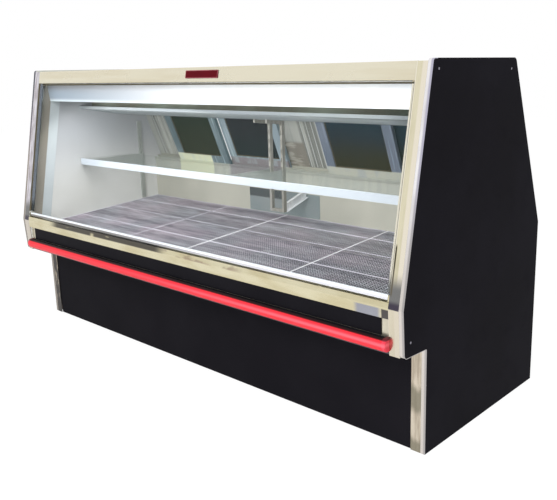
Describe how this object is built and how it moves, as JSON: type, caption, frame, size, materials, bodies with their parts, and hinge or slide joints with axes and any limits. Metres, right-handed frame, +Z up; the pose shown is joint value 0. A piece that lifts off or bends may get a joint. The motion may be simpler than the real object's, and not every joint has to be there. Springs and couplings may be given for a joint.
{
  "type": "refrigerated meat display case",
  "caption": "Long counter case with a sloping front glass that tilts open, a glass shelf over a lift-out deck, sliding rear doors and a condensing unit in its base.",
  "frame": {"origin": "on the floor, under the middle of the case's length and depth", "axes": "+X along the case to the right of a customer facing it, +Y from the customer's side to the server's side, +Z up"},
  "size_m": [2.489, 0.983, 1.346],
  "materials": {
    "black_board": "black laminate, slight sheen",
    "black_gloss": "gloss black",
    "trim_metal": "bright anodised strip",
    "white_liner": "off-white liner with foam behind it",
    "white_metal": "white enamel",
    "white_plastic": "white plastic",
    "lamp_white": "coated fluorescent tube",
    "stainless": "bright stainless steel",
    "post_steel": "grey-beige enamelled steel",
    "chrome": "bright plated steel",
    "aluminium": "satin anodised",
    "door_frame": "light anodised frame",
    "glass": "clear float glass",
    "dark_glass": "double pane that looks dark from the shop",
    "red_bumper": "red extruded vinyl",
    "bumper_cap": "moulded end cap",
    "red_plate": "bare dark red plate",
    "coil_metal": "plain aluminium fins",
    "grey_metal": "grey coated wire",
    "frame_paint": "black paint",
    "zinc": "zinc plated",
    "black_plastic": "black plastic",
    "compressor_paint": "black enamel",
    "copper": "bare copper pipe"
  },
  "bodies": {
    "case": {"base_corner_posts": "stainless", "base_frame": "frame_paint", "base_front_panel": "black_board", "bumper_channel": "aluminium", "bumper_end_caps": "bumper_cap", "bumper_insert": "red_bumper", "canopy_band": "stainless", "compressor": "compressor_paint", "condenser_coil": "coil_metal", "condenser_shroud": "frame_paint", "condensing_unit_base": "zinc", "copper_lines": "copper", "deck_grilles": "grey_metal", "deck_supports": "grey_metal", "door_lower_track": "aluminium", "door_upper_track": "aluminium", "drain_pipes": "white_plastic", "drip_pan": "white_metal", "electrical_box": "zinc", "end_panel_screws": "trim_metal", "end_panels": "black_board", "end_trims": "trim_metal", "end_walls": "white_liner", "fascia_panel": "black_gloss", "front_rail": "stainless", "gravity_coil": "coil_metal", "lamp_holders": "white_plastic", "lamp_tubes": "lamp_white", "lamp_valance": "white_metal", "levelling_feet": "zinc", "nameplate": "red_plate", "pilasters": "stainless", "post_brace": "chrome", "rear_access_panel": "frame_paint", "rear_fixed_panels": "stainless", "rear_header": "white_liner", "shelf_brackets": "chrome", "shelf_front_moulding": "white_plastic", "shelf_glass": "glass", "shelf_posts": "post_steel", "tank_floor": "white_liner", "tank_front_wall": "white_liner", "tank_rear_wall": "white_liner", "top_panel": "white_liner"},
    "front_glass": {"front_glass_pane": "glass", "glass_bottom_channel": "white_metal"},
    "door_1": {"door_frame_1": "door_frame", "door_glass_1": "dark_glass"},
    "door_2": {"door_frame_2": "door_frame", "door_glass_2": "dark_glass"},
    "door_3": {"door_frame_3": "door_frame", "door_glass_3": "dark_glass"},
    "door_4": {"door_frame_4": "door_frame", "door_glass_4": "dark_glass"},
    "fan": {"condenser_fan": "coil_metal"},
    "lamp_switch": {"light_switch": "black_plastic"},
    "dial": {"thermostat_knob": "black_plastic"}
  },
  "joints": [
    {"name": "front_glass_tilt", "type": "hinge", "parent": "case", "child": "front_glass", "pos_m": [0, -0.45336, 0.59392], "axis": [1, 0, 0], "range_deg": [0, 35]},
    {"name": "door_1_slide", "type": "slide", "parent": "case", "child": "door_1", "axis": [1, 0, 0], "range_m": [-0.252, 0.497]},
    {"name": "door_2_slide", "type": "slide", "parent": "case", "child": "door_2", "axis": [1, 0, 0], "range_m": [-0.683, 0.066]},
    {"name": "door_3_slide", "type": "slide", "parent": "case", "child": "door_3", "axis": [1, 0, 0], "range_m": [-0.219, 0.53]},
    {"name": "door_4_slide", "type": "slide", "parent": "case", "child": "door_4", "axis": [1, 0, 0], "range_m": [-0.57, 0.179]},
    {"name": "condenser_fan_spin", "type": "hinge", "parent": "case", "child": "fan", "pos_m": [0.55, 0.3, 0.192], "axis": [0, 1, 0], "continuous": true},
    {"name": "lamp_switch_rock", "type": "hinge", "parent": "case", "child": "lamp_switch", "pos_m": [1.06, 0.26001, 1.2581], "axis": [1, 0, 0], "range_deg": [-7, 7]},
    {"name": "thermostat_turn", "type": "hinge", "parent": "case", "child": "dial", "pos_m": [-0.047, 0.48, 0.268], "axis": [0, 1, 0], "range_deg": [0, 300]}
  ]
}
